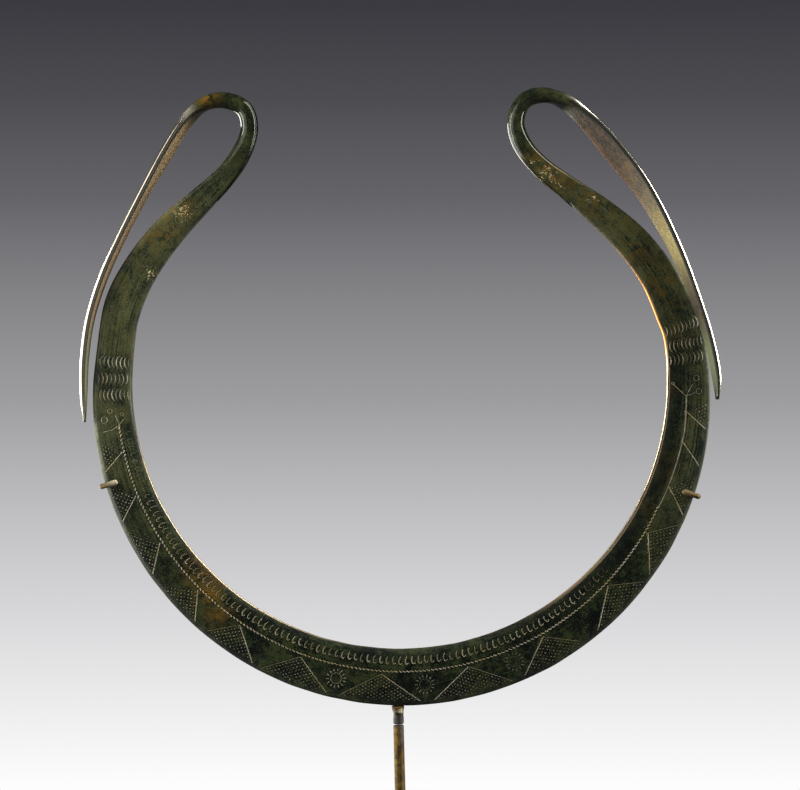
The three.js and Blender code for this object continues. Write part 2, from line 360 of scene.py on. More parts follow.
def mark_triangles(marks, chance):
    """Two cut sides from each triangle's point to its base, the lower one deeper, and a lattice of
    dots between them whose rows run along both sides."""
    for number, (start, point, end) in enumerate(TRIANGLES):
        apex = face_point(point, POINT_SHARE)
        first, last = face_point(start, BASE_SHARE), face_point(end, BASE_SHARE)
        lower, upper = (last, first) if point < 270 else (first, last)
        stroke(marks, [apex, lower], 0.18, 0.19)
        stroke(marks, [apex, upper], 0.16, 0.13 if 230 < point < 335 else 0.09)
        if number == BARE_TRIANGLE:
            continue
        toward_first, toward_last = unit(first - apex), unit(last - apex)
        slant = abs(toward_first[0] * toward_last[1] - toward_first[1] * toward_last[0])
        margin = 0.75 / slant
        count = int(np.linalg.norm(last - apex) / DOT_PITCH) + 4
        for i in range(count):
            for j in range(count):
                along_first = (margin + i * DOT_PITCH) * toward_first
                spot = apex + along_first + (margin + j * DOT_PITCH) * toward_last
                spot = spot + chance.normal(0, 0.045, 2)
                angle = np.arctan2(spot[1], spot[0]) % FULL_TURN
                reach = np.linalg.norm(spot) - INNER_RADIUS
                share = reach / (outer_reach(angle) - INNER_RADIUS)
                if share < BASE_SHARE - 0.02:
                    half_width = 0.24 + chance.uniform(-0.04, 0.03)
                    marks.append((*spot, *spot, half_width, chance.uniform(0.13, 0.2)))


def mark_rope(marks):
    """Slanting punches side by side along the middle of the face, then a plain line. On the
    right a thin cut joins them."""
    start, plain, end = ROPE
    radius = np.linalg.norm(face_point(270.0, ROPE_SHARE))
    count = int(math.radians(plain - start) * radius / ROPE_PITCH)
    for degrees in np.linspace(start, plain, count):
        centre = face_point(degrees, ROPE_SHARE)
        stroke(marks, turned([(-0.3, -0.16), (0.3, 0.16)], centre, degrees), 0.22, 0.2)
    joined = [face_point(d, ROPE_SHARE) for d in np.linspace(ROPE_JOINED, plain, 40)]
    stroke(marks, joined, 0.15, 0.13)
    degrees = np.linspace(plain, end, 40)
    shares = np.interp(degrees, *zip(*ROPE_LINE))
    line = [face_point(d, s) for d, s in zip(degrees, shares)]
    stroke(marks, line, 0.21, 0.16)


def mark_hooks(marks, chance):
    """A row of hook-shaped punches: an upright spine, bent round at its outer end."""
    hook = [(0.25, -1.1), (0.0, -0.5), (-0.05, 0.3), (0.2, 0.95), (0.6, 0.95), (0.85, 0.6)]

    def row(start, end, size, depth):
        radius = INNER_RADIUS + 3.2
        count = int(math.radians(end - start) * radius / HOOK_PITCH)
        for degrees in np.linspace(start, end, count):
            centre = face_point(degrees, 0.205)
            lean = degrees + chance.uniform(-9, 9)
            shape = turned(hook, centre, lean, size * chance.uniform(0.92, 1.12))
            fading = 1 - 0.65 * smooth(degrees, *HOOKS_FADE) * (degrees < 330)
            stroke(marks, shape, 0.17, depth * fading * chance.uniform(0.7, 1.05))

    row(*HOOK_PUNCHES, 1.0, 0.19)
    for start, end, depth in FAINT_PUNCHES:
        row(start, end, 0.72, depth)


def mark_crescents(marks, chance):
    """Stacked rows of nested crescents across both ends of the ring, each row turned about.
    A crescent is thick and deep in its middle and runs out thin at both horns."""
    for inner_middle, outer_middle, bulge in CRESCENT_ROWS:
        width = outer_reach(np.radians(inner_middle)) - INNER_RADIUS
        for reach in np.arange(1.3, width - 0.9, 1.22):
            share = reach / width
            middle = inner_middle + (outer_middle - inner_middle) * share
            centre = face_point(middle, share)
            size = chance.uniform(2.45, 2.75)
            start, end = chance.uniform(-72, -60), chance.uniform(56, 72)
            swing = arc((0, -size * bulge), size, 90 * bulge + start, 90 * bulge + end, 12)
            swing = turned(swing, centre, middle + chance.uniform(-4, 4))
            deep = chance.uniform(0.7, 1.1)
            for piece in range(12):
                thick = math.sin(math.pi * (piece + 0.5) / 12)
                ends = swing[piece : piece + 2]
                stroke(marks, ends, 0.10 + 0.09 * thick, (0.04 + 0.13 * thick) * deep)


def mark_suns(marks):
    """Small suns between the triangles: a ring with short rays."""
    for degrees, share, strength in SUNS:
        centre = face_point(degrees, share)
        if strength > 0.5:
            stroke(marks, arc(centre, 1.6, 0, 360, 20), 0.18, 0.13 * strength)
        for ray in np.arange(0, 360, 26):
            inner, outer = (
                centre + r * np.array([math.cos(math.radians(ray)), math.sin(math.radians(ray))])
                for r in (2.15, 2.95)
            )
            stroke(marks, [inner, outer], 0.18, 0.17 * strength)


def mark_branches(marks):
    """The forked figure above each end of the rope, with its small rings."""
    for forks, rings in (
        (
            (((-84.3, -14.2), (-83.9, -13.0), (-85.3, -10.1)), ((-83.9, -13.0), (-82.7, -11.3)),
             ((-83.9, -13.0), (-86.2, -14.6), (-88.9, -15.2))),
            ((-88.5, -11.6, 0.95), (-86.8, -8.9, 0.7), (-83.2, -9.8, 0.5)),
        ),
        (
            (((85.8, -4.4), (82.1, -1.0)), ((85.8, -4.4), (87.7, -0.8)), ((85.8, -4.4), (88.6, -3.3))),
            ((88.9, 1.0, 0.85), (89.7, -2.9, 0.85), (81.9, -0.6, 0.4)),
        ),
    ):
        for fork in forks:
            stroke(marks, fork, 0.19, 0.15)
        for x, z, radius in rings:
            stroke(marks, arc((x, z), radius, 0, 360, 12), 0.18, 0.14)


def all_marks():
    """Every mark of the face. Their order matters, because the kinds draw from one chance in turn."""
    chance = np.random.default_rng(11)
    marks = []
    mark_triangles(marks, chance)
    mark_rope(marks)
    mark_hooks(marks, chance)
    mark_crescents(marks, chance)
    mark_suns(marks)
    mark_branches(marks)
    return marks


def struck_relief(x, z, station_angle):
    """Depth of every mark at each point of the face, and how near its lip is. A mark's cut falls
    off as a bell of the distance to its stroke, with a low raised lip just outside it."""
    cut, lip = np.zeros_like(x), np.zeros_like(x)
    for ax, az, bx, bz, half_width, depth in all_marks():
        reach = 4 * half_width
        spans = [math.atan2(q, p) % FULL_TURN for p, q in ((ax, az), (bx, bz))]
        spans = [a + FULL_TURN if a < math.pi / 2 else a for a in spans]
        slack = (reach + 0.5) / INNER_RADIUS
        first = np.searchsorted(station_angle, min(spans) - slack)
        last = np.searchsorted(station_angle, max(spans) + slack)
        here = slice(first, last)
        px, pz = x[here] - ax, z[here] - az
        length = (bx - ax) ** 2 + (bz - az) ** 2
        share = 0.0
        if length > 0:
            share = np.clip((px * (bx - ax) + pz * (bz - az)) / length, 0, 1)
        distance = np.hypot(px - share * (bx - ax), pz - share * (bz - az)) / half_width
        cut[here] = np.maximum(cut[here], depth * np.exp(-(distance**2.4)))
        lip[here] = np.maximum(lip[here], depth * np.exp(-(((distance - 1.6) / 0.45) ** 2)))
    return cut, lip


# ---- Torc --------------------------------------------------------------------------------


def ring_knots():
    """The crescent's knots, halfway between its two circles and as wide as the room between them."""
    degrees = np.linspace(*RING_ENDS, RING_SPANS + 1)
    angle = np.radians(degrees)
    outer = outer_reach(angle)
    middle, width = (INNER_RADIUS + outer) / 2, outer - INNER_RADIUS
    nought = np.zeros_like(angle)
    thick = nought + RING_THICKNESS
    return np.stack([middle * np.cos(angle), middle * np.sin(angle), nought, width, thick, nought], -1)


def round_angles():
    """Angles round the section, one per column, for a plate and for a rod. A plate's lie evenly
    over its face, edges and back, and a rod's evenly within each of those four quarters."""
    face = np.linspace(-1, 1, FACE_COLUMNS, endpoint=False)
    side = np.linspace(1, -1, SIDE_COLUMNS, endpoint=False)
    back = np.linspace(1, -1, BACK_COLUMNS, endpoint=False)
    across = np.concatenate([face, np.ones(SIDE_COLUMNS), back, -np.ones(SIDE_COLUMNS)])
    forward = np.concatenate([np.ones(FACE_COLUMNS), side, -np.ones(BACK_COLUMNS), -side])
    plate = np.arctan2(np.sign(forward) * np.abs(forward) ** 2.5, np.sign(across) * np.abs(across) ** 2.5)
    quarters = [face, 2 - side, 4 - back, 6 + side]
    rod = 0.75 * math.pi - (np.concatenate(quarters) + 1) * math.pi / 4
    return np.unwrap(plate), rod


def strip_section(angle, narrow):
    """Section of a pin, as shares of its half width and half depth: two straight flanks joined
    by half circles in front and behind. narrow is its width over its depth."""
    sine, cosine = np.sin(angle), np.cos(angle)
    on_edge = np.abs(sine) > math.sqrt(0.5)
    round_it = np.where(on_edge, np.arcsin(np.clip(cosine, -1, 1)) * 2, 0.0)
    flank = sine / math.sqrt(0.5) * (1 - narrow)
    across = np.where(on_edge, np.sin(round_it), np.sign(cosine))
    facing = np.where(on_edge, np.sign(sine) * (1 - narrow + narrow * np.cos(round_it)), flank)
    return across, facing


def blots(x, z, spots, spread=1.0):
    """Soft round patches, each falling off as a bell from its middle: x, z, radius, strength."""
    value = np.zeros_like(x)
    for spot_x, spot_z, radius, strength in spots:
        distance = ((x - spot_x) ** 2 + (z - spot_z) ** 2) / (radius * spread) ** 2
        value = np.maximum(value, strength * np.exp(-distance))
    return value


OCHRE_SPOTS = (
    (-57.6, 84.4, 3.0, 1.0), (-61.5, 81.0, 2.0, 0.5), (-59.8, -58.5, 3.6, 0.9), (-57.0, -63.5, 4.2, 1.0),
    (-54.0, -69.5, 3.5, 0.8), (-62.5, -55.0, 3.0, 0.6), (-77.0, 45.0, 5.0, 0.45), (66.0, 50.5, 5.0, 0.35),
    (79.5, -25.0, 4.0, 0.4), (73.0, -38.0, 4.0, 0.4), (81.0, -3.0, 2.0, 0.6), (41.0, 66.5, 4.0, 0.6),
    (45.0, 61.5, 4.5, 0.8), (50.0, 58.0, 4.0, 0.5), (57.5, 55.0, 4.0, 0.6), (-70.5, 46.0, 4.0, 0.7),
    (-65.0, 52.0, 3.5, 0.5), (78.0, 27.0, 5.0, 0.36), (71.0, 39.0, 4.5, 0.4), (84.0, 14.0, 3.0, 0.3),
)
CRUST_SPOTS = (
    (-65.6, 49.6, 2.6, 1.0), (-62.5, 52.3, 2.0, 0.7), (-71.0, 41.0, 2.0, 0.7), (-74.4, 31.3, 2.4, 0.8),
    (-76.5, 26.0, 1.6, 0.5), (44.0, 62.0, 2.6, 0.9), (40.0, 65.5, 2.2, 0.6), (48.5, 58.5, 2.2, 0.7),
    (58.0, 54.8, 2.2, 0.8), (63.0, 50.0, 1.5, 0.4), (35.5, 73.0, 2.0, 0.5),
    (77.0, 32.0, 3.0, 0.45), (82.0, 22.0, 2.0, 0.4), (70.0, 41.0, 2.5, 0.35),
)
OLIVE_SPOTS = (
    (-76.0, 43.0, 9.0, 1.0), (-81.0, 31.0, 8.0, 0.7), (-66.0, 52.0, 7.0, 0.7), (-83.5, 12.0, 9.0, 0.5),
    (-86.0, -8.0, 9.0, 0.45), (-82.0, -28.0, 9.0, 0.3), (-58.0, -62.0, 9.0, 0.6), (76.0, 30.0, 9.0, 1.0),
    (60.0, 51.0, 8.0, 0.7), (68.0, 42.0, 7.0, 0.8), (83.0, 17.0, 7.0, 0.8), (41.0, 82.0, 6.0, 0.4),
)


def torc_surface():
    """The section, a superellipse, carried along the route. Where the piece is flat its power
    is high, which gives a plate with soft edges, and where it is round it is a circle's.
    A pin's columns lie evenly round it. The face then takes its middle ridge, its sloping inner
    part and the struck marks."""
    knots = np.vstack([LEFT_LIMB[::-1], ring_knots(), RIGHT_LIMB])
    middle = (np.arange(len(knots) - 1) >= len(LEFT_LIMB) - 2) & (
        np.arange(len(knots) - 1) <= len(LEFT_LIMB) + RING_SPANS + 1
    )
    pins = knots[:-1, 4] > 2 * knots[:-1, 3]
    times = even_times(knots[:, :2], np.where(middle, FINE_STEP, np.where(pins, PIN_STEP, COARSE_STEP)))
    x, z, forward, width, depth, turn = spline(knots, times, 0).T
    centre = np.stack([x, -forward, z], -1)
    along = np.concatenate([[0], np.cumsum(np.linalg.norm(np.diff(centre, axis=0), axis=1))])

    tangent = unit(np.gradient(centre, along, axis=0))
    outward = unit(np.cross(tangent, np.array([0.0, -1.0, 0.0])))
    twist = -np.radians(turn)[:, None]
    outward = outward * np.cos(twist) + np.cross(tangent, outward) * np.sin(twist)
    ahead = unit(np.cross(outward, tangent))

    flat = smooth(width / depth, 1.2, 2.6)[:, None]
    strip = smooth(depth / width, 1.4, 3.2)[:, None]
    plate_angle, rod_angle = round_angles()
    angle = plate_angle * flat + rod_angle * (1 - flat)
    even_angle = 0.75 * math.pi - FULL_TURN * np.arange(len(rod_angle)) / len(rod_angle)
    angle = angle * (1 - strip) + even_angle * strip
    cosine, sine = np.cos(angle), np.sin(angle)
    power = 2 + 3 * smooth(np.abs(width - depth), 0.5, 5.0)[:, None]
    across = np.sign(cosine) * np.abs(cosine) ** (2 / power)
    facing = np.sign(sine) * np.abs(sine) ** (2 / power)
    strip_across, strip_facing = strip_section(angle, (width / depth)[:, None])
    across = across * (1 - strip) + strip_across * strip
    facing = facing * (1 - strip) + strip_facing * strip
    hammered = 1 + wander(along, 3, 5.0, 0.008)[:, None]
    slimmer = 0.998 - 0.042 * (1 - flat) - 0.035 * strip
    sideways = across * (width[:, None] / 2) * hammered * slimmer
    out_front = facing * (depth[:, None] / 2) * (2 - hammered) * slimmer
    sway = wander(along, 5, 9.0, 0.03)[:, None]

    column = np.arange(across.shape[1])
    on_face = (column > 1) & (column < FACE_COLUMNS - 1) & (flat > 0.5)
    share = (across + 1) / 2
    px = x[:, None] + outward[:, :1] * sideways
    pz = z[:, None] + outward[:, 2:] * sideways
    station = np.arctan2(z, x) % FULL_TURN
    station = np.where(station < math.pi / 2, station + FULL_TURN, station)
    span = np.clip(times.astype(int), 0, len(middle) - 1)
    ring_rows = slice(*np.flatnonzero(middle[span])[[0, -1]])

    cut, lip = np.zeros_like(px), np.zeros_like(px)
    rows_angle = station[ring_rows]
    cut[ring_rows], lip[ring_rows] = struck_relief(px[ring_rows], pz[ring_rows], rows_angle)
    cut, lip = cut * on_face, lip * on_face
    degrees = np.degrees(station)[:, None]
    edge_fade = 1 - np.abs(across) ** 12
    slope = np.clip((ROPE_SHARE - share) / ROPE_SHARE, 0, 1)
    ridge = np.exp(-(((share - ROPE_SHARE) / 0.04) ** 2))
    steep = INNER_SLOPE[0] + (INNER_SLOPE[1] - INNER_SLOPE[0]) * smooth(degrees, 196, 330)
    in_ring = smooth(degrees, 184, 194) * (1 - smooth(degrees, 358, 366))
    bevel = np.clip((BEVEL_SHARE - share) / BEVEL_SHARE, 0, 1) * smooth(degrees, 172, 186)
    bevel = bevel * (1 - smooth(degrees, 376, 392)) * (1 - 0.85 * smooth(degrees, 285, 315)) * 0.35
    outer_bevel = np.clip((share - 0.91) / 0.09, 0, 1) * smooth(degrees, 184, 190)
    bevel = bevel + outer_bevel * (1 - smooth(degrees, 216, 226)) * 0.32
    waves = 0.02 * np.sin(px * 0.9 + 0.6 * np.sin(pz * 0.7)) * np.sin(pz * 0.8 + 1.3 * np.sin(px * 0.5))
    relief = in_ring * (0.07 * ridge - steep * slope) * edge_fade - bevel + (waves - 0.02) * edge_fade
    out_front = out_front + (relief - cut + 0.3 * lip) * (facing > 0.2) * flat

    points = (
        centre[:, None]
        + outward[:, None] * (sideways + sway)[..., None]
        + ahead[:, None] * out_front[..., None]
    )
    points[..., 2] += RING_HEIGHT

    nought = np.zeros_like(px)
    front_edge = smooth(sine, 0.69, 0.76)
    # Painted shade on the inner part of the face on the right, inside the rope: it darkens that part through
    # the lip layer and keeps the paler patina off it.
    painted_inner_shade = smooth(degrees, 280, 300) * (1 - smooth(degrees, 362, 372)) * smooth(ROPE_SHARE - share, 0, 0.06)
    # The pins' front edges: polished and painted near white where their highlight falls, a painted highlight
    # on real polish, and painted dark beside it, a painted dark reflection.
    left_shine = smooth(-across, -0.75, -0.5) * smooth(across, -0.97, -0.78)
    polish_and_highlight = np.where(x[:, None] > 0, smooth(-across, -0.1, 0.2), left_shine)
    corner = np.abs(across) ** 6 * (1 - strip)
    inner = smooth(-across, 0.87, 0.94) * (1 - strip) * (facing > -0.3)
    # Worn bronze on the inner edge, laid where the edge catches the light: golden on the right. Low on the
    # right and along the left rim it is painted cream, partly wear and partly a painted highlight.
    gold = inner * smooth(degrees, 296, 334) * (1 - smooth(degrees, 378, 398))
    left_rim_wear_and_highlight = inner * smooth(-across, 0.95, 0.985) * smooth(degrees, 186, 205)
    left_rim_wear_and_highlight = left_rim_wear_and_highlight * (1 - smooth(degrees, 236, 262)) * 0.6
    bare = smooth(across, 0.2, 0.6) * (1 - front_edge) * strip
    right = (x > 0)[:, None]
    border = bare * np.where(right, smooth(-facing, 0.35, 0.85), smooth(-facing, 0.0, 0.5))
    copper = border * right * smooth(z, 40.0, 55.0)[:, None]
    # A pale band across the right pin's inner face, about 41 mm up: partly pale metal, partly a painted
    # highlight.
    pale_metal_and_sheen = bare * right * np.exp(-(((z - 41.0) / 11.0) ** 2))[:, None]
    yellow = border * ~right * smooth(z, 30.0, 50.0)[:, None]
    green = bare * (1 - smooth(z, 8.0, 22.0))[:, None] * smooth(np.abs(x), 86.0, 90.0)[:, None]
    faded = 1 - np.where(right, 0.45, 0.8) * smooth(pz, 50.0, 72.0)
    layers = {
        "cut": cut / 0.17,
        # The lip layer paints shade: a dark ring round each struck mark, and the painted inner shade.
        "lip": lip / 0.12 + 1.1 * painted_inner_shade,
        "edge": corner + nought,
        "gold": np.maximum(gold, left_rim_wear_and_highlight) + nought,
        "cream_wear_and_highlight": np.maximum(gold * smooth(-pz, -14, 4), left_rim_wear_and_highlight) + nought,
        "strip": strip + nought,
        "rod": (1 - flat) * (1 - strip) + nought,
        "front": front_edge * strip * polish_and_highlight + nought,
        "dark": front_edge * strip * (1 - polish_and_highlight) + nought,
        "dull": strip * (1 - front_edge * polish_and_highlight) + nought,
        "bare": bare + nought,
        "copper": copper + nought,
        "tan": bare * ~right + nought,
        "pale_metal_and_sheen": pale_metal_and_sheen + nought,
        # Paler, streaky patina above, darker towards the bottom; less of it high on the limbs, little on the
        # painted inner shade and none on the pins.
        "pale": smooth(pz, -62.0, -18.0) * faded * (1 - 0.9 * painted_inner_shade) * (1 - strip),
        "green": green + nought,
        "ochre": blots(px, pz, OCHRE_SPOTS) * (1 - strip) + yellow,
        "crust": np.minimum(1.0, 1.6 * blots(px, pz, CRUST_SPOTS, 1.3)) * (1 - strip) + 0.85 * yellow,
        "olive": blots(px, pz, OLIVE_SPOTS) * (1 - strip),
    }
    return points, layers


def thinned(mesh, triangles, kept):
    """The same surface with fewer triangles: flat stretches are merged and relief is kept. Where
    the layer named by kept is high, nothing is merged."""
    holder = bpy.data.objects.new("thinning", mesh)
    bpy.context.scene.collection.objects.link(holder)
    values = np.zeros(len(mesh.vertices), np.float32)
    mesh.attributes[kept].data.foreach_get("value", values)
    merged = holder.vertex_groups.new(name="merged")
    merged.add(np.flatnonzero(values < KEPT_ABOVE).tolist(), 1.0, "REPLACE")
    totals = np.zeros(len(mesh.polygons), np.int32)
    mesh.polygons.foreach_get("loop_total", totals)
    count = int((totals - 2).sum())
    shrink = holder.modifiers.new("thin", "DECIMATE")
    shrink.ratio = min(1.0, triangles / count)
    shrink.vertex_group = merged.name
    shape = holder.evaluated_get(bpy.context.evaluated_depsgraph_get())
    result = bpy.data.meshes.new_from_object(shape)
    result.name = mesh.name
    bpy.data.objects.remove(holder)
    bpy.data.meshes.remove(mesh)
    return result


# ---- Shading -----------------------------------------------------------------------------


class Tree:
    """A node tree with short ways to add its nodes and link them."""

    def __init__(self, tree):
        self.tree = tree

    def add(self, kind, inputs=None, **settings):
        node = self.tree.nodes.new(kind)
        for key, value in settings.items():
            setattr(node, key, value)
        for key, value in (inputs or {}).items():
            self.set(node.inputs[key], value)
        return node

    def set(self, socket, value):
        if isinstance(value, bpy.types.NodeSocket):
            self.tree.links.new(value, socket)
        else:
            socket.default_value = value

    def math(self, operation, first, second):
        node = self.add("ShaderNodeMath", operation=operation)
        for socket, value in zip(node.inputs, (first, second)):
            self.set(socket, value)
        return node.outputs[0]

    def plus(self, first, second):
        return self.math("ADD", first, second)

    def less(self, first, second):
        return self.math("SUBTRACT", first, second)

    def times(self, first, second):
        return self.math("MULTIPLY", first, second)

    def larger(self, first, second):
        return self.math("MAXIMUM", first, second)

    def noise(self, place, scale, detail=3.0, roughness=0.55):
        values = {"Vector": place, "Scale": scale, "Detail": detail, "Roughness": roughness}
        return self.add("ShaderNodeTexNoise", values).outputs["Fac"]

    def span(self, value, low, high, out_low=0.0, out_high=1.0):
        """A smooth step from out_low to out_high as the value goes from low to high."""
        node = self.add("ShaderNodeMapRange", interpolation_type="SMOOTHSTEP")
        for key, part in zip(
            ("Value", "From Min", "From Max", "To Min", "To Max"), (value, low, high, out_low, out_high)
        ):
            self.set(node.inputs[key], part)
        return node.outputs["Result"]

    def mix(self, share, first, second):
        node = self.add("ShaderNodeMix", data_type="RGBA")
        self.set(node.inputs["Factor"], share)
        colours = [s for s in node.inputs if s.type == "RGBA"]
        self.set(colours[0], first)
        self.set(colours[1], second)
        return next(s for s in node.outputs if s.type == "RGBA")

    def attribute(self, name):
        return self.add("ShaderNodeAttribute", attribute_name=name).outputs["Fac"]

    def group(self, tree, inputs):
        node = self.add("ShaderNodeGroup", node_tree=tree)
        for key, value in inputs.items():
            self.set(node.inputs[key], value)
        return node.outputs


def colour(red, green, blue):
    """A colour for a socket from its 0 to 255 values on a screen."""
    parts = np.array([red, green, blue]) / 255
    linear = np.where(parts > 0.04045, ((parts + 0.055) / 1.055) ** 2.4, parts / 12.92)
    return (*linear.tolist(), 1.0)


SOCKETS = {"v": "NodeSocketVector", "c": "NodeSocketColor", "f": "NodeSocketFloat"}


def new_group(name, inputs, outputs):
    """An empty shader group with named sockets. Each socket is given as name: (kind, value)."""
    tree = bpy.data.node_groups.new(name, "ShaderNodeTree")
    for way, sockets in (("INPUT", inputs), ("OUTPUT", outputs)):
        for key, (kind, value) in sockets.items():
            socket = tree.interface.new_socket(key, in_out=way, socket_type=SOCKETS[kind])
            if value is not None:
                socket.default_value = value
    build = Tree(tree)
    return tree, build, build.add("NodeGroupInput").outputs, build.add("NodeGroupOutput").inputs


def patina_tones():
    """Mottled change between three tones. Clouds, blots and grain are added, each smaller than the
    one before, and streaks follow the piece's length where Along is given."""
    inputs = {
        "Place": ("v", None),
        "Along": ("v", None),
        "Base": ("c", None),
        "Light": ("c", None),
        "Dark": ("c", None),
        "Scale": ("f", 90.0),
        "Light Share": ("f", 0.4),
        "Dark Share": ("f", 0.4),
        "Streaks": ("f", 0.2),
    }
    tree, t, given, out = new_group("patina_tones", inputs, {"Colour": ("c", None), "Grain": ("f", None)})
    cloud = t.noise(given["Place"], given["Scale"], 3.0, 0.6)
    blot = t.noise(given["Place"], t.times(given["Scale"], 4.5), 3.0, 0.6)
    grain = t.noise(given["Place"], t.times(given["Scale"], 20.0), 2.0, 0.6)
    drawn = t.noise(given["Along"], 1.0, 3.0, 0.7)
    streak = t.times(t.less(drawn, 0.5), given["Streaks"])
    both = t.plus(t.times(cloud, 0.36), t.times(blot, 0.36))
    both = t.plus(both, t.times(grain, 0.28))
    both = t.plus(both, streak)
    light_edge = t.less(0.64, t.times(given["Light Share"], 0.26))
    dark_edge = t.plus(0.36, t.times(given["Dark Share"], 0.26))
    light = t.span(both, t.less(light_edge, 0.05), t.plus(light_edge, 0.07))
    dark = t.span(both, t.plus(dark_edge, 0.05), t.less(dark_edge, 0.07))
    tones = t.mix(light, given["Base"], given["Light"])
    t.set(out["Colour"], t.mix(dark, tones, given["Dark"]))
    t.set(out["Grain"], grain)
    return tree


def crust_specks():
    """Mask of small ragged crumbs, thick where Amount is high and missing where it is nought."""
    inputs = {"Place": ("v", None), "Amount": ("f", 1.0), "Scale": ("f", 1500.0)}
    tree, t, given, out = new_group("crust_specks", inputs, {"Mask": ("f", None)})
    crumbs = t.noise(given["Place"], given["Scale"], 3.0, 0.7)
    wide = t.noise(given["Place"], t.times(given["Scale"], 0.25), 2.0)
    both = t.plus(t.times(crumbs, 0.6), t.times(wide, 0.4))
    edge = t.less(0.82, t.times(given["Amount"], 0.34))
    t.set(out["Mask"], t.span(both, edge, t.plus(edge, 0.06)))
    return tree


def edge_wear():
    """Mask of bright metal along edges, broken up so that it comes and goes."""
    inputs = {"Place": ("v", None), "Edge": ("f", 0.0), "Amount": ("f", 0.5), "Scale": ("f", 250.0)}
    tree, t, given, out = new_group("edge_wear", inputs, {"Mask": ("f", None)})
    breaks = t.noise(given["Place"], given["Scale"], 4.0, 0.65)
    lifted = t.plus(given["Edge"], t.times(t.less(breaks, 0.5), 0.9))
    low = t.less(1.1, given["Amount"])
    t.set(out["Mask"], t.span(lifted, low, t.plus(low, 0.35)))
    return tree


def beaten_surface():
    """Height of shallow hammer marks with fine pits and scratches over them."""
    inputs = {
        "Place": ("v", None),
        "Hammer Scale": ("f", 300.0),
        "Hammer": ("f", 1.0),
        "Pits": ("f", 0.3),
        "Scratches": ("f", 0.2),
    }
    tree, t, given, out = new_group("beaten_surface", inputs, {"Height": ("f", None)})
    dents = t.add("ShaderNodeTexVoronoi", {"Vector": given["Place"], "Scale": given["Hammer Scale"]})
    dents.feature = "SMOOTH_F1"
    dent = t.times(dents.outputs["Distance"], given["Hammer"])
    pitting = t.noise(given["Place"], t.times(given["Hammer Scale"], 7.0), 4.0, 0.7)
    pits = t.times(t.span(pitting, 0.42, 0.3), given["Pits"])
    drawn = t.add("ShaderNodeMapping", {"Vector": given["Place"], "Scale": (1.0, 1.0, 14.0)})
    lines = t.noise(drawn.outputs[0], t.times(given["Hammer Scale"], 2.0), 3.0, 0.7)
    scratches = t.times(lines, given["Scratches"])
    t.set(out["Height"], t.plus(t.less(dent, pits), scratches))
    return tree


PATINA_TONES = patina_tones()
CRUST_SPECKS = crust_specks()
EDGE_WEAR = edge_wear()
BEATEN_SURFACE = beaten_surface()


def new_material(name, **settings):
    """A material with its tree builder, its shader and the object's own coordinates."""
    material = bpy.data.materials.new(name)
    material.use_nodes = True
    t = Tree(material.node_tree)
    shader = material.node_tree.nodes["Principled BSDF"]
    for key, value in settings.items():
        shader.inputs[key.replace("_", " ")].default_value = value
    place = t.add("ShaderNodeTexCoord").outputs["Object"]
    return material, t, shader.inputs, place


def bump(t, sockets, height, strength, distance):
    values = {"Height": height, "Strength": strength, "Distance": distance}
    t.set(sockets["Normal"], t.add("ShaderNodeBump", values).outputs["Normal"])


def along_piece(t, lengthwise, round_it):
    """The piece's own map, stretched: so many patterns per metre and so many round it."""
    own = t.add("ShaderNodeUVMap", uv_map="along_across").outputs["UV"]
    return t.add("ShaderNodeMapping", {"Vector": own, "Scale": (lengthwise, round_it, 1.0)}).outputs[0]


def toned(t, place, along, tones, scale, light_share, dark_share, streaks):
    """The patina group set up with a base, a light and a dark tone."""
    base, light, dark = (colour(*tone) for tone in tones)
    values = {"Place": place, "Along": along, "Base": base, "Light": light, "Dark": dark, "Scale": scale}
    shares = {"Light Share": light_share, "Dark Share": dark_share, "Streaks": streaks}
    return t.group(PATINA_TONES, values | shares)


def beaten_height(t, place, scale, hammer, pits, scratches):
    """The height that the beaten surface group gives."""
    values = {"Place": place, "Hammer Scale": scale, "Hammer": hammer, "Pits": pits, "Scratches": scratches}
    return t.group(BEATEN_SURFACE, values)["Height"]


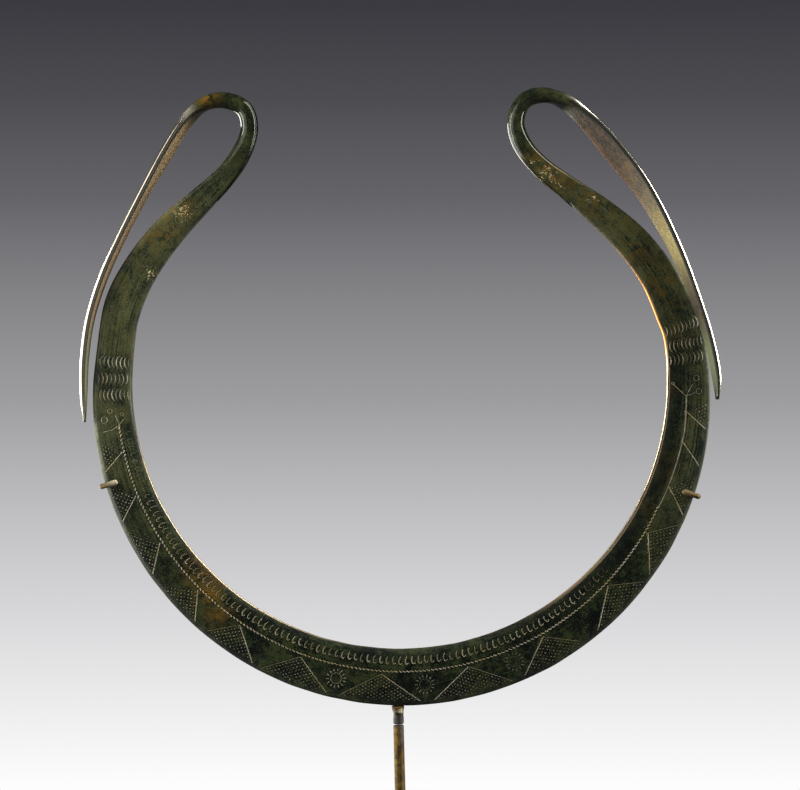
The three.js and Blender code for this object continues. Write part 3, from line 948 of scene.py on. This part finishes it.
def torc_bronze():
    """Glossy dark green patina, mottled olive and ochre, with crumbs of pale crust. The struck marks
    and the worn edges show brighter metal, and so do the pins' inner faces. Painted highlights lie
    in the marks, on parts of the inner edge and on the pins, and painted shade round the marks."""
    material, t, sockets, place = new_material("torc_bronze")
    plate = toned(
        t, place, along_piece(t, 140.0, 70.0), ((33, 42, 26), (57, 66, 37), (8, 14, 9)),
        scale=110.0, light_share=0.45, dark_share=0.5, streaks=0.3,
    )
    paler_tones = toned(
        t, place, along_piece(t, 18.0, 120.0), ((54, 65, 48), (88, 91, 58), (20, 31, 25)),
        scale=70.0, light_share=0.5, dark_share=0.55, streaks=1.0,
    )
    bare_metal = toned(
        t, place, along_piece(t, 60.0, 300.0), ((50, 38, 20), (88, 68, 38), (20, 16, 8)),
        scale=160.0, light_share=0.5, dark_share=0.45, streaks=1.0,
    )
    cut, lip = t.attribute("cut"), t.attribute("lip")
    bare, front = t.attribute("bare"), t.attribute("front")
    ragged = t.noise(place, 420.0, 4.0, 0.7)
    olive = t.times(t.attribute("olive"), t.span(ragged, 0.42, 0.58))
    # Paler patina above, darker towards the bottom.
    tone = t.mix(t.attribute("pale"), plate["Colour"], paler_tones["Colour"])
    tone = t.mix(t.times(olive, 0.5), tone, colour(88, 82, 40))
    ochre = t.times(t.attribute("ochre"), t.span(ragged, 0.38, 0.6))
    tone = t.mix(t.times(ochre, 0.8), tone, colour(122, 93, 35))
    crusty = t.times(t.attribute("crust"), 0.9)
    crust = t.group(CRUST_SPECKS, {"Place": place, "Amount": crusty, "Scale": 1900.0})
    crumb = t.mix(t.noise(place, 2600.0, 2.0), colour(120, 100, 44), colour(214, 196, 136))
    tone = t.mix(crust["Mask"], tone, crumb)
    dusty = t.span(t.attribute("pale"), 0.0, 1.0, 0.28, 0.42)
    dust = t.group(CRUST_SPECKS, {"Place": place, "Amount": dusty, "Scale": 1400.0})
    tone = t.mix(dust["Mask"], tone, colour(136, 124, 78))
    # Painted shade: near black round each struck mark and over the inner part of the face on the right.
    tone = t.mix(t.times(lip, 0.55), tone, colour(8, 14, 8))
    # The cuts are painted pale: partly bare metal in them, partly a painted highlight standing in for the
    # glint off their walls.
    struck = t.mix(t.span(t.noise(place, 110.0, 3.0), 0.4, 0.6), colour(218, 212, 184), colour(202, 184, 132))
    tone = t.mix(t.span(cut, 0.35, 1.1, 0.0, 0.78), tone, struck)
    crumbly = t.span(t.noise(place, 1700.0, 3.0, 0.8), 0.4, 0.58, 0.3, 0.92)
    tan = t.times(t.attribute("tan"), crumbly)
    metal = t.mix(tan, bare_metal["Colour"], colour(190, 162, 118))
    metal = t.mix(t.times(t.attribute("copper"), 0.6), metal, colour(104, 68, 26))
    flaked = t.span(t.noise(along_piece(t, 420.0, 260.0), 1.0, 5.0, 0.8), 0.4, 0.6, 0.25, 0.85)
    # Painted highlight in part: the pale band on the right pin's inner face.
    metal = t.mix(t.times(t.attribute("pale_metal_and_sheen"), flaked), metal, colour(196, 184, 132))
    metal = t.mix(t.times(t.attribute("green"), 0.7), metal, colour(128, 140, 98))
    crusted = t.times(t.larger(ochre, crust["Mask"]), 0.85)
    tone = t.mix(t.times(bare, t.less(1.0, crusted)), tone, metal)
    edge = t.group(EDGE_WEAR, {"Place": place, "Edge": t.attribute("edge"), "Amount": 0.25})
    worn = t.larger(t.times(edge["Mask"], 0.4), t.attribute("gold"))
    tone = t.mix(worn, tone, colour(156, 104, 54))
    # Painted highlight in part: cream on the worn inner edge, low on the right and along the left rim.
    tone = t.mix(t.attribute("cream_wear_and_highlight"), tone, colour(228, 210, 172))
    # Painted highlight on real polish: near white on the pins' front edges.
    tone = t.mix(front, tone, colour(236, 226, 204))
    # Painted dark reflection: dark beside the pins' highlights.
    tone = t.mix(t.attribute("dark"), tone, colour(26, 26, 16))
    t.set(sockets["Base Color"], tone)
    shine = t.larger(worn, t.times(bare, 0.2))
    shine = t.larger(t.larger(shine, front), t.attribute("pale_metal_and_sheen"))
    t.set(sockets["Metallic"], t.span(shine, 0.0, 1.0, 0.3, 0.97))
    rough = t.plus(0.16, t.times(plate["Grain"], 0.22))
    rough = t.plus(rough, t.times(crust["Mask"], 0.3))
    rough = t.plus(rough, t.times(t.attribute("dull"), 0.42))
    smoother = t.larger(t.larger(front, t.attribute("gold")), t.attribute("rod"))
    corners = t.times(t.attribute("edge"), t.less(1.0, smoother))
    rough = t.plus(rough, t.times(corners, 0.5))
    rough = t.less(rough, t.times(smoother, 0.15))
    t.set(sockets["Roughness"], rough)
    beaten = beaten_height(t, place, scale=260.0, hammer=0.5, pits=0.2, scratches=0.12)
    height = t.times(beaten, t.span(smoother, 0.0, 1.0, 0.35, 0.06))
    height = t.plus(height, t.times(crust["Mask"], 0.5))
    bump(t, sockets, height, 0.6, 0.0006)
    return material


def mount_brass():
    """Drawn brass gone brown, darker where Darkening is high and pale where solder shows. On the rod's right
    side below its head the darkening is painted shade.
    """
    material, t, sockets, place = new_material("mount_brass")
    tones = toned(
        t, place, along_piece(t, 60.0, 30.0), ((80, 63, 24), (118, 94, 36), (42, 33, 14)),
        scale=160.0, light_share=0.45, dark_share=0.4, streaks=0.3,
    )
    darkening, pale = t.attribute("darkening"), t.attribute("pale")
    tone = t.mix(t.times(darkening, 0.9), tones["Colour"], colour(38, 32, 34))
    tone = t.mix(pale, tone, colour(205, 195, 165))
    t.set(sockets["Base Color"], tone)
    dull = t.larger(darkening, pale)
    t.set(sockets["Metallic"], t.span(dull, 0.0, 1.0, 0.7, 0.1))
    t.set(sockets["Roughness"], t.plus(0.5, t.times(tones["Grain"], 0.25)))
    beaten = beaten_height(t, place, scale=500.0, hammer=0.2, pits=0.6, scratches=0.35)
    bump(t, sockets, beaten, 0.5, 0.0003)
    return material


def foot_paint():
    """Dark satin paint over metal, rubbed through a little on its edges."""
    material, t, sockets, place = new_material("foot_paint")
    tones = toned(
        t, place, place, ((42, 37, 32), (54, 48, 42), (32, 28, 24)),
        scale=60.0, light_share=0.3, dark_share=0.3, streaks=0.0,
    )
    wear = t.group(EDGE_WEAR, {"Place": place, "Edge": t.attribute("edge"), "Amount": 0.42})
    t.set(sockets["Base Color"], t.mix(wear["Mask"], tones["Colour"], colour(120, 108, 88)))
    t.set(sockets["Metallic"], t.span(wear["Mask"], 0.0, 1.0, 0.0, 0.9))
    t.set(sockets["Roughness"], t.plus(0.36, t.times(tones["Grain"], 0.2)))
    beaten = beaten_height(t, place, scale=900.0, hammer=0.5, pits=0.2, scratches=0.0)
    bump(t, sockets, beaten, 0.12, 0.0002)
    return material


# ---- Mount -------------------------------------------------------------------------------

ROD_BACK = 1.2
ROD_DIAMETER = 3.2
ARM_DIAMETER = 1.8
ARM_RADIUS = 86.0
GAP = 0.3
HOOK_REACH = 4.0
FOOT_CORNER = 6.0
FOOT_BEVEL = 1.2
SEAT_WIDTH = 4.2
SEAT_MIDDLE = 269.4  # degrees, the middle of the seat under the ring
LEFT_HOOK, RIGHT_HOOK = 196.7, 341.4  # degrees
ROD_COLUMNS = 48
SEAT_COLUMNS = 44
ARM_COLUMNS = 24
FOOT_COLUMNS = 160


def tube(path, radii, columns):
    """A round section of changing radius carried along a path. The section doesn't twist: each
    one is the last, turned by the least turn that squares it to the path."""
    tangent = unit(np.gradient(path, axis=0))
    across = np.zeros_like(path)
    across[0] = unit(np.cross(tangent[0], [0.3, 0.9, 0.2]))
    for row in range(1, len(path)):
        carried = across[row - 1] - tangent[row] * (across[row - 1] @ tangent[row])
        across[row] = unit(carried)
    other = np.cross(tangent, across)
    angle = np.arange(columns) / columns * FULL_TURN
    ring = across[:, None] * np.cos(angle)[:, None] + other[:, None] * np.sin(angle)[:, None]
    return path[:, None] + ring * radii[:, None, None]


def rounded_ends(along, radius):
    """Radii that close both ends as a ball does."""
    share = np.ones_like(along)
    for left in (along, along[-1] - along):
        share = np.minimum(share, np.sqrt(np.clip(1 - (1 - left / radius).clip(0, 1) ** 2, 0.0004, 1)))
    return radius * share


def rod_piece(material):
    """A round rod with a straight axis that leans from foot to head, its thickness uneven."""
    low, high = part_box("support_rod")
    foot_x = high.x / MM - ROD_DIAMETER / 2
    head_x = low.x / MM + ROD_DIAMETER / 2
    share = np.concatenate(
        [np.linspace(0, 0.004, 5), np.linspace(0.006, 0.994, 180), np.linspace(0.996, 1, 5)]
    )
    z = low.z / MM + share * (high.z - low.z) / MM
    path = np.stack([foot_x + share * (head_x - foot_x), np.full_like(z, ROD_BACK), z], -1)
    along = z - z[0]
    radii = rounded_ends(along, 0.35) + ROD_DIAMETER / 2 - 0.36
    radii = radii + wander(along, 21, 7.0, 0.01)
    points = tube(path, radii, ROD_COLUMNS)
    down = high.z / MM - points[..., 2]
    right = points[..., 0] - path[:, None, 0]
    # Darker at the very head of the rod.
    darkening = smooth(down + 1.2 * wander(np.abs(points[..., 0]) * 20, 4, 3.0, 1.0), 1.4, 0.3)
    # Painted shade: the rod's right side darkened for the last few millimetres below its head.
    side = smooth(right, -0.3, 0.5) * smooth(down, 9.0, 2.0) * 0.75
    layers = {"darkening": np.maximum(darkening, side), "pale": np.zeros_like(down)}
    place_piece(grid_mesh("rod_surface", points, layers), "mount_brass", material, "support_rod")


def seat_piece(material):
    """Sections stacked from the rod's head upwards: round, flaring into the shelf under the
    ring, then stepping back to the flat post behind it."""
    low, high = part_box("rod_seat")
    bottom, top = low.z / MM, high.z / MM
    left, right = low.x / MM, high.x / MM
    front, rear = low.y / MM, high.y / MM
    post_front = RING_THICKNESS / 2 + GAP
    shelf = RING_HEIGHT + OUTER_SHIFT[1] - OUTER_RADIUS - GAP
    middle = (left + right) / 2
    half = ROD_DIAMETER / 2
    # height, left, right, front, rear, power
    stations = np.array(
        [
            (bottom + 0.02, middle - 1.3, middle + 1.3, ROD_BACK - 1.3, ROD_BACK + 1.3, 2.0),
            (bottom + 0.3, middle - half, middle + half, ROD_BACK - half, ROD_BACK + half, 2.0),
            (bottom + 1.6, middle - half, middle + half, ROD_BACK - half, ROD_BACK + half, 2.0),
            (bottom + 2.8, middle - 1.5, middle + 1.5, ROD_BACK - 1.7, ROD_BACK + 2.0, 2.2),
            (bottom + 3.6, middle - 1.6, middle + 1.55, front + 0.25, rear - 0.4, 2.5),
            (shelf - 0.9, left + 0.15, middle + 1.6, front + 0.05, rear - 0.1, 3.0),
            (shelf - 0.25, left + 0.02, middle + 1.75, front + 0.02, rear - 0.02, 3.2),
            (shelf - 0.02, left + 0.2, middle + 1.6, front + 0.25, rear - 0.02, 3.4),
            (shelf, left + 0.3, middle + 1.55, post_front + 0.02, rear, 5.0),
            (shelf + 0.4, left + 0.35, middle + 1.5, post_front + 0.06, rear, 5.0),
            (top - 1.2, left + 0.4, middle + 1.45, post_front + 0.06, rear, 4.5),
            (top - 0.3, left + 0.6, middle + 1.2, post_front + 0.2, rear - 0.15, 3.4),
            (top - 0.01, left + 1.2, middle + 0.7, post_front + 0.7, rear - 0.7, 2.6),
        ]
    )
    place = np.arange(len(stations) - 1e-6, step=1 / 6)[: 6 * (len(stations) - 1) + 1]
    index = np.clip(place.astype(int), 0, len(stations) - 2)
    share = (place - index)[:, None]
    rows = stations[index] * (1 - share) + stations[index + 1] * share
    z, lo_x, hi_x, lo_y, hi_y, power = rows.T[:, :, None]
    angle = np.arange(SEAT_COLUMNS) / SEAT_COLUMNS * FULL_TURN
    swell_x = np.sign(np.cos(angle)) * np.abs(np.cos(angle)) ** (2 / power)
    swell_y = np.sign(np.sin(angle)) * np.abs(np.sin(angle)) ** (2 / power)
    x = (lo_x + hi_x) / 2 + swell_x * (hi_x - lo_x) / 2
    y = (lo_y + hi_y) / 2 + swell_y * (hi_y - lo_y) / 2
    points = np.stack([x, y, z + 0 * x], -1)
    facing = smooth(-(y - ROD_BACK), 0.2, 1.0)
    spot = ((x - middle - 0.75) ** 2 / 0.9**2 + (z - shelf + 1.5) ** 2 / 0.85**2) * np.ones_like(x)
    pale = np.exp(-(spot**1.5)) * facing
    stain = np.exp(-(((x - middle + 1.3) / 0.5) ** 2)) * np.exp(-(((z - shelf + 1.9) / 0.7) ** 2)) * 0.7
    pale = np.maximum(pale, stain * facing)
    points[..., 1] -= 0.12 * pale
    # Darker below the shelf and on the seat's left.
    darkening = smooth(shelf - 2.3 - z, 0.0, 0.5) + smooth(-(x - middle), 0.3, 1.2) * 0.6 + 0 * x
    layers = {"darkening": np.clip(darkening, 0, 1) * (1 - pale), "pale": pale}
    place_piece(grid_mesh("seat_surface", points, layers), "mount_brass", material, "rod_seat")


def arm_piece(material, name, start, hook, tip_flare):
    """The wire behind the ring, turned forward past its edge and in over its face."""
    behind = RING_THICKNESS / 2 + GAP + ARM_DIAMETER / 2
    beyond = OUTER_RADIUS + GAP + ARM_DIAMETER / 2
    bend = math.copysign(2.2, start - hook)
    spots = [(a, ARM_RADIUS, behind) for a in np.linspace(start, hook + bend, 11)]
    spots += [
        (hook + bend * 0.25, ARM_RADIUS + 2.4, behind),
        (hook, beyond - 1.6, behind),
        (hook, beyond - 0.25, behind - 0.5),
        (hook, beyond, behind - 1.8),
        (hook, beyond, -behind + 1.8),
        (hook, beyond - 0.25, -behind + 0.5),
        (hook, beyond - 1.6, -behind),
        (hook, OUTER_RADIUS - HOOK_REACH, -behind),
    ]
    angle, radius, back = np.array(spots).T
    angle = np.radians(angle)
    x = OUTER_SHIFT[0] + radius * np.cos(angle)
    z = RING_HEIGHT + OUTER_SHIFT[1] + radius * np.sin(angle)
    knots = np.stack([x, back, z], -1)
    path = spline(knots, even_times(knots, 0.55), 0.5)
    along = np.concatenate([[0], np.cumsum(np.linalg.norm(np.diff(path, axis=0), axis=1))])
    fine = np.concatenate([np.linspace(0, 1.2, 9)[:-1], np.arange(1.2, along[-1] - 1.2, 0.45)])
    fine = np.concatenate([fine, along[-1] - np.linspace(1.2, 0, 10)])
    path = np.stack([np.interp(fine, along, path[:, k]) for k in range(3)], -1)
    from_tip = fine[-1] - fine
    slim = 0.1 * smooth(from_tip, 2.0, 3.5) * smooth(16.0 - from_tip, 0.0, 4.0)
    radii = rounded_ends(fine, ARM_DIAMETER / 2 - 0.02)
    radii = radii * (1 - slim + 0.004 * np.sin(fine * 1.7))
    points = tube(path, radii, ARM_COLUMNS)
    tip = smooth(from_tip, 5.0, 0.5)[:, None] + 0 * points[..., 0]
    layers = {"darkening": 0.25 * (1 - tip), "pale": tip * tip_flare}
    place_piece(grid_mesh(name + "_surface", points, layers), "mount_brass", material, name)


def foot_piece(material):
    """Profile carried round the block: up the blind socket's wall, out over the top, down the
    side over its round edges and in under the base. Each row is a rounded rectangle that
    becomes the socket's circle at the middle."""
    low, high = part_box("foot")
    half_x, half_y = high.x / MM, high.y / MM
    height = high.z / MM
    rod_low, rod_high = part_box("support_rod")
    socket_x = rod_high.x / MM - ROD_DIAMETER / 2
    socket_radius = ROD_DIAMETER / 2 + GAP
    socket_floor = rod_low.z / MM - GAP
    quarter = np.linspace(0, math.pi / 2, 9)
    rise, drawn_in = np.sin(quarter), 1 - np.cos(quarter)
    # inset from the side, and height
    top_edge = [(FOOT_BEVEL * d, height - FOOT_BEVEL * (1 - r)) for d, r in zip(drawn_in[::-1], rise[::-1])]
    base_edge = [(FOOT_BEVEL * d, FOOT_BEVEL * (1 - r)) for d, r in zip(drawn_in, rise)]
    side = [(0.0, h) for h in np.linspace(height - FOOT_BEVEL, FOOT_BEVEL, 8)[1:-1]]
    over = [(i, height) for i in np.linspace(half_y - 8, FOOT_BEVEL, 14)[:-1]]
    under = [(i, 0.0) for i in np.linspace(FOOT_BEVEL, half_y - 1, 8)[1:]]
    profile = np.array(over + top_edge + side + base_edge + under)
    angle = (np.arange(FOOT_COLUMNS) + 0.5) / FOOT_COLUMNS * FULL_TURN
    inset, level = profile.T[:, :, None]
    reach_x, reach_y = half_x - inset, half_y - inset
    corner = np.maximum(FOOT_CORNER - inset, 0.5)
    turn_x, turn_y = np.cos(angle), np.sin(angle)
    square = np.maximum(np.abs(turn_x), np.abs(turn_y))
    grid_x, grid_y = turn_x / square * reach_x, turn_y / square * reach_y
    over_x = np.clip(np.abs(grid_x) - (reach_x - corner), 0, None)
    over_y = np.clip(np.abs(grid_y) - (reach_y - corner), 0, None)
    length = np.hypot(over_x, over_y)
    trim = np.where(length > corner, corner / np.maximum(length, 1e-6), 1.0)
    x = np.sign(grid_x) * (np.abs(grid_x) - over_x * (1 - trim))
    y = np.sign(grid_y) * (np.abs(grid_y) - over_y * (1 - trim))
    outer = np.stack([x, y, level + 0 * x], -1)
    inner_rows = [  # share of the socket's radius, and height
        (0.3, socket_floor),
        (0.85, socket_floor),
        (1.0, socket_floor + 0.2),
        (1.0, height - 3.0),
        (1.0, height - 0.3),
        (1.12, height - 0.06),
        (1.25, height),
        (1.8, height),
    ]
    share, inner_level = np.array(inner_rows).T[:, :, None]
    inner_x = socket_x + share * socket_radius * turn_x
    inner_y = ROD_BACK + share * socket_radius * turn_y
    inner = np.stack([inner_x, inner_y, inner_level + 0 * inner_x], -1)
    points = np.concatenate([inner, outer])
    rim = np.concatenate([np.zeros(len(inner_rows)), np.exp(-(((profile[:, 1] - height + 0.4) / 0.5) ** 2))])
    rim[: len(inner_rows) + len(over) - 1] = 0
    layers = {"edge": rim[:, None] + 0 * points[..., 0]}
    place_piece(grid_mesh("foot_surface", points, layers), "foot_metal", material, "foot")


# ---- Making ------------------------------------------------------------------------------

bronze, brass, paint = torc_bronze(), mount_brass(), foot_paint()
torc_points, torc_layers = torc_surface()
torc_mesh = grid_mesh("torc_surface", torc_points, torc_layers)
torc_mesh = thinned(torc_mesh, TORC_TRIANGLES, "strip")
place_piece(torc_mesh, "bronze_patina", bronze, "torc")
rod_piece(brass)
seat_piece(brass)
ARM_START = math.degrees((SEAT_WIDTH / 2 + GAP) / ARM_RADIUS)
arm_piece(brass, "cradle_arm_left", SEAT_MIDDLE - ARM_START, LEFT_HOOK, 0.6)
arm_piece(brass, "cradle_arm_right", SEAT_MIDDLE + ARM_START, RIGHT_HOOK, 0.12)
foot_piece(paint)


# ---- Floor, backdrop and lights ----------------------------------------------------------

FLOOR_RADIUS = 0.29
FLOOR_RINGS, FLOOR_TURNS = 24, 96
FLOOR_DROP = 0.0002  # below the foot, so that the two don't share a plane
BACKDROP = (  # height of the view's direction, and the backdrop's grey there
    (-0.116, (253, 253, 253)),
    (-0.062, (213, 213, 215)),
    (-0.0015, (157, 157, 159)),
    (0.0585, (101, 100, 105)),
    (0.0885, (77, 76, 81)),
    (0.117, (59, 58, 64)),
)


def make_floor():
    """A pale round floor whose edge fades out, so that it meets the backdrop without a line.
    It throws little light back on the piece."""
    rings = np.linspace(0, 1, FLOOR_RINGS)[1:]
    turns = np.arange(FLOOR_TURNS) / FLOOR_TURNS * FULL_TURN
    disc = np.stack(
        [rings[:, None] * np.cos(turns), rings[:, None] * np.sin(turns), 0 * rings[:, None] * turns], -1
    ).reshape(-1, 3)
    vertices = np.vstack([[[0, 0, 0]], disc * FLOOR_RADIUS])
    row, column = np.meshgrid(np.arange(len(rings) - 1), np.arange(FLOOR_TURNS), indexing="ij")
    following = (column + 1) % FLOOR_TURNS
    near, far = 1 + row * FLOOR_TURNS, 1 + (row + 1) * FLOOR_TURNS
    quads = np.stack([near + column, far + column, far + following, near + following], -1).reshape(-1, 4)
    fan = [(0, 1 + i, 1 + (i + 1) % FLOOR_TURNS) for i in range(FLOOR_TURNS)]
    mesh = bpy.data.meshes.new("floor")
    mesh.from_pydata(vertices.tolist(), [], fan + quads.tolist())
    material, t, sockets, place = new_material("pale_floor", Metallic=0.0, Roughness=0.85)
    reach = t.add("ShaderNodeVectorMath", {0: place}, operation="LENGTH").outputs["Value"]
    fine = t.noise(place, 40.0, 3.0)
    pale = t.mix(fine, colour(236, 235, 232), colour(243, 242, 240))
    seen = t.add("ShaderNodeLightPath").outputs["Is Camera Ray"]
    t.set(sockets["Base Color"], t.mix(seen, colour(70, 70, 70), pale))
    t.set(sockets["Alpha"], t.span(reach, 0.8 * FLOOR_RADIUS, 0.99 * FLOOR_RADIUS, 1.0, 0.0))
    mesh.materials.append(material)
    floor = bpy.data.objects.new("floor", mesh)
    floor.location.z = -FLOOR_DROP
    bpy.context.scene.collection.objects.link(floor)


def make_backdrop():
    """What the camera sees behind is grey above, growing white below. What lights and reflects
    in the piece is the same sweep, dimmer, with a dark room in front."""
    world = bpy.data.worlds.new("studio")
    bpy.context.scene.world = world
    world.use_nodes = True
    t = Tree(world.node_tree)
    world.node_tree.nodes.clear()
    direction = t.add("ShaderNodeSeparateXYZ", {0: t.add("ShaderNodeTexCoord").outputs["Generated"]})
    rise = direction.outputs["Z"]
    low, high = BACKDROP[0][0], BACKDROP[-1][0]
    sweep = t.add("ShaderNodeValToRGB", {0: t.math("DIVIDE", t.less(rise, low), high - low)})
    stops = sweep.color_ramp.elements
    for _ in range(len(BACKDROP) - 2):
        stops.new(0.5)
    for stop, (height, grey) in zip(stops, BACKDROP):
        stop.position = (height - low) / (high - low)
        stop.color = colour(*grey)
    below = t.span(rise, 0.2, -0.6)
    room = t.plus(0.035, t.times(below, 0.10))
    blue = t.times(room, 1.03)
    dim = t.add("ShaderNodeCombineColor", {"Red": room, "Green": room, "Blue": blue})
    seen = t.add("ShaderNodeLightPath").outputs["Is Camera Ray"]
    both = t.mix(seen, dim.outputs[0], sweep.outputs["Color"])
    glow = t.add("ShaderNodeBackground", {"Color": both, "Strength": 1.0})
    output = t.add("ShaderNodeOutputWorld")
    t.set(output.inputs["Surface"], glow.outputs[0])


def softbox(name, azimuth, elevation, distance, size, watts, shades=True, shines=True):
    """A soft light facing the torc, placed by its direction from it: azimuth nought is in front,
    and 90 degrees is to the right. shades says whether it lights the surface's own colour, and
    shines whether it shows in the gloss."""
    side, up = math.radians(azimuth), math.radians(elevation)
    way = Vector((math.sin(side) * math.cos(up), -math.cos(side) * math.cos(up), math.sin(up)))
    data = bpy.data.lights.new(name, "AREA")
    data.shape = "RECTANGLE"
    data.size, data.size_y = size
    data.energy = watts
    data.color = (1.0, 0.98, 0.95)
    light = bpy.data.objects.new(name, data)
    light.visible_diffuse = shades
    light.visible_glossy = shines
    light.location = Vector((0, 0, RING_HEIGHT * MM)) + way * distance
    light.rotation_euler = way.to_track_quat("Z", "Y").to_euler()
    bpy.context.scene.collection.objects.link(light)


make_floor()
make_backdrop()
softbox("key_left", -54, 40, 0.6, (0.2, 0.4), 5.3, shines=False)
softbox("fill_right", 66, 25, 1.0, (0.2, 0.6), 6.5, shines=False)
softbox("front_left", -54, 4, 0.9, (0.7, 0.9), 3.6, shades=False)
softbox("rim_left", -84, -4, 0.9, (0.5, 0.95), 18.0, shades=False)
softbox("back_left", -132, -10, 0.9, (0.6, 0.65), 11.0, shades=False)
softbox("rim_right", 84, 24, 0.9, (0.45, 1.4), 29.0, shades=False)
bpy.context.scene.view_settings.view_transform = "Standard"
